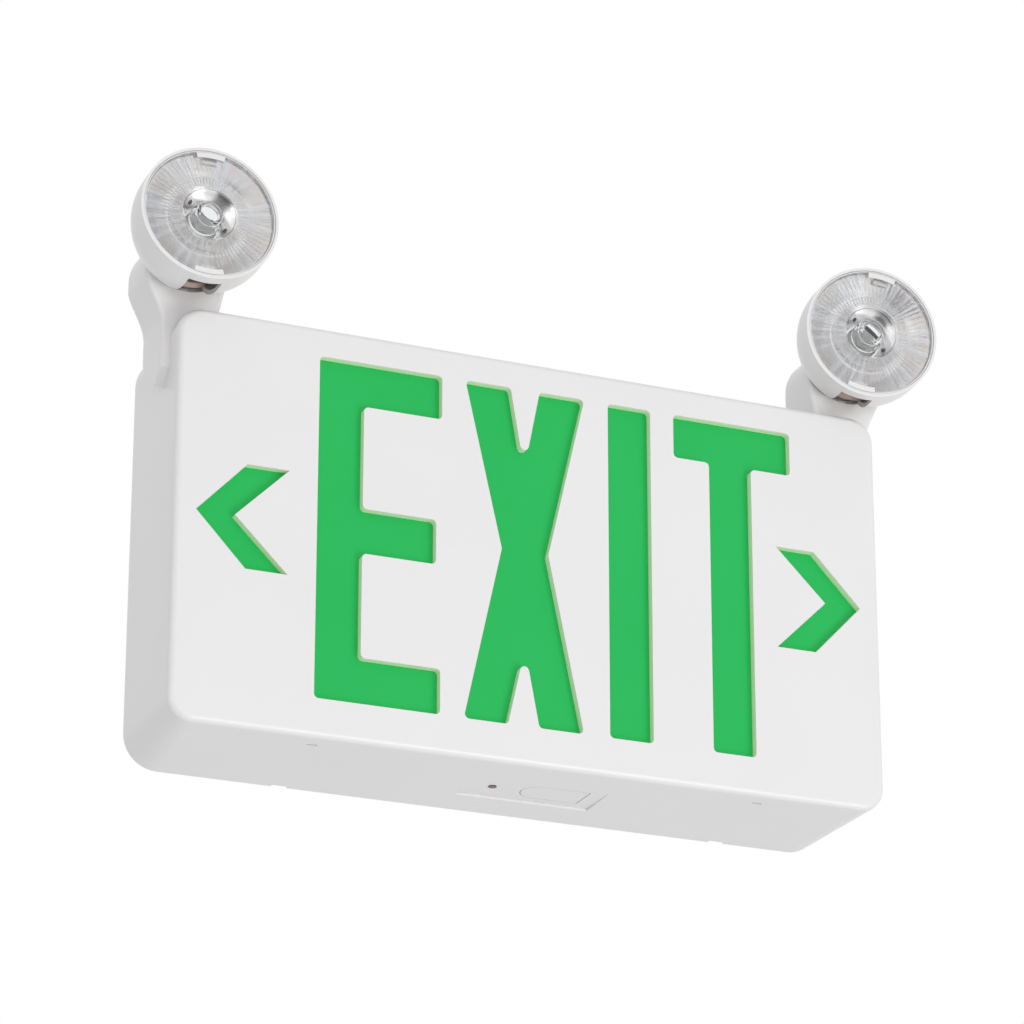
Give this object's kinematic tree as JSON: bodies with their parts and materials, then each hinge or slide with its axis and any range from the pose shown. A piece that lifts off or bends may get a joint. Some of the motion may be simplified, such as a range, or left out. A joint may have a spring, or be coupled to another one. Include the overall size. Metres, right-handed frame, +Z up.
{
  "type": "emergency exit light",
  "caption": "Wall-mounted exit sign with a green stencil face and two swivelling round emergency lamps on arms at its top corners.",
  "frame": {"origin": "centre of the sign case's wall face", "axes": "+X to the right as seen from the front, -Y out of the wall towards the viewer, +Z up"},
  "size_m": [0.3724, 0.0838, 0.2508],
  "materials": {
    "white_case": "smooth satin-gloss moulding",
    "white_plate": "plain moulding",
    "green_panel": "translucent coloured sheet",
    "circuit_board": "solder-masked board",
    "led": "small lamps",
    "core_steel": "laminated core",
    "battery_wrap": "shrink sleeve",
    "black_plastic": "plain",
    "dark_plastic": "plain",
    "pilot_red": "clear-tinted light pipe",
    "reflector_bright": "bright metallised",
    "clear_lens": "clear polished",
    "clear_optic": "clear polished",
    "lamp_board_white": "white-masked board",
    "heat_sink_metal": "plain",
    "zinc_steel": "zinc plated"
  },
  "bodies": {
    "base": {"case": "white_case", "back_plate": "white_plate", "colour_panel": "green_panel", "sign_board": "circuit_board", "sign_leds": "led", "board_stands": "white_plate", "control_board": "circuit_board", "board_posts": "white_plate", "transformer": "core_steel", "battery_pack": "battery_wrap", "battery_strap": "white_plate", "terminal_block": "black_plastic", "test_switch": "black_plastic", "switch_board": "circuit_board", "switch_posts": "white_plate", "pilot_light": "pilot_red"},
    "test_key": {"test_button": "white_case"},
    "left_swivel": {"left_clamp_post": "zinc_steel", "left_clamp_washer": "dark_plastic", "left_clamp_spring": "zinc_steel", "left_clamp_nut": "zinc_steel"},
    "left_head": {"left_lamp_bowl": "white_case", "left_lamp_reflector": "reflector_bright", "left_lamp_lens": "clear_lens", "left_lamp_optic": "clear_optic", "left_lamp_board": "lamp_board_white", "left_lamp_heat_sink": "heat_sink_metal"},
    "right_swivel": {"right_clamp_post": "zinc_steel", "right_clamp_washer": "dark_plastic", "right_clamp_spring": "zinc_steel", "right_clamp_nut": "zinc_steel"},
    "right_head": {"right_lamp_bowl": "white_case", "right_lamp_reflector": "reflector_bright", "right_lamp_lens": "clear_lens", "right_lamp_optic": "clear_optic", "right_lamp_board": "lamp_board_white", "right_lamp_heat_sink": "heat_sink_metal"}
  },
  "joints": [
    {"name": "left_swivel_turn", "type": "hinge", "parent": "base", "child": "left_swivel", "pos_m": [-0.1558, -0.07, 0.1268], "axis": [0, 0.829, -0.5592], "range_deg": [-45, 45]},
    {"name": "left_head_tilt", "type": "hinge", "parent": "left_swivel", "child": "left_head", "pos_m": [-0.1558, -0.07, 0.1268], "axis": [-1, 0, 0], "range_deg": [-37.3, 19.7]},
    {"name": "right_swivel_turn", "type": "hinge", "parent": "base", "child": "right_swivel", "pos_m": [0.1558, -0.07, 0.1268], "axis": [0, 0.829, -0.5592], "range_deg": [-58, 32]},
    {"name": "right_head_tilt", "type": "hinge", "parent": "right_swivel", "child": "right_head", "pos_m": [0.1558, -0.07, 0.1268], "axis": [-0.9744, 0.1258, 0.1865], "range_deg": [-31, 26]},
    {"name": "test_key_press", "type": "hinge", "parent": "base", "child": "test_key", "pos_m": [0.034, -0.0315, -0.0901], "axis": [0, 1, 0], "range_deg": [0, 2.5], "stiffness_Nm_per_rad": 1.5}
  ]
}
